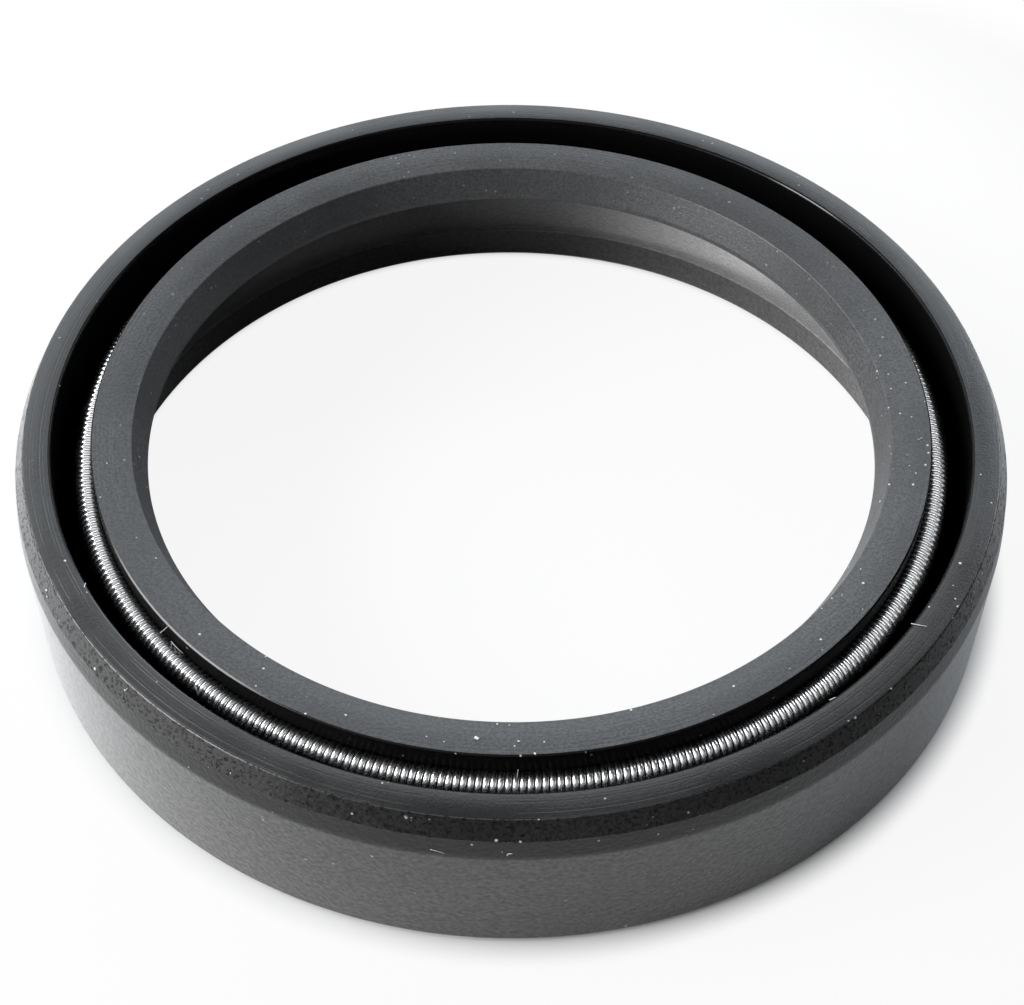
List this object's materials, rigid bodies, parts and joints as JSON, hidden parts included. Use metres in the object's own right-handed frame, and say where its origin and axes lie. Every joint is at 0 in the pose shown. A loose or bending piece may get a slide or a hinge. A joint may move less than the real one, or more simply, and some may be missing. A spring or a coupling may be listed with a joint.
{
  "type": "rotary shaft seal",
  "caption": "Black rubber-covered ring seal with a spring-loaded sealing lip, an open cavity on the spring side and a bonded steel case, for a caster's bearing.",
  "frame": {"origin": "centre of the back face, on the seal's axis", "axes": "+Z along the axis, from the back face towards the spring side"},
  "size_m": [0.0504, 0.0504, 0.0095],
  "materials": {
    "rubber": "moulded black nitrile rubber, satin",
    "spring_steel": "bright drawn spring wire",
    "case_steel": "stamped strip, phosphated for bonding"
  },
  "bodies": {
    "root": {"seal_body": "rubber", "garter_spring": "spring_steel", "steel_case": "case_steel"}
  },
  "joints": []
}
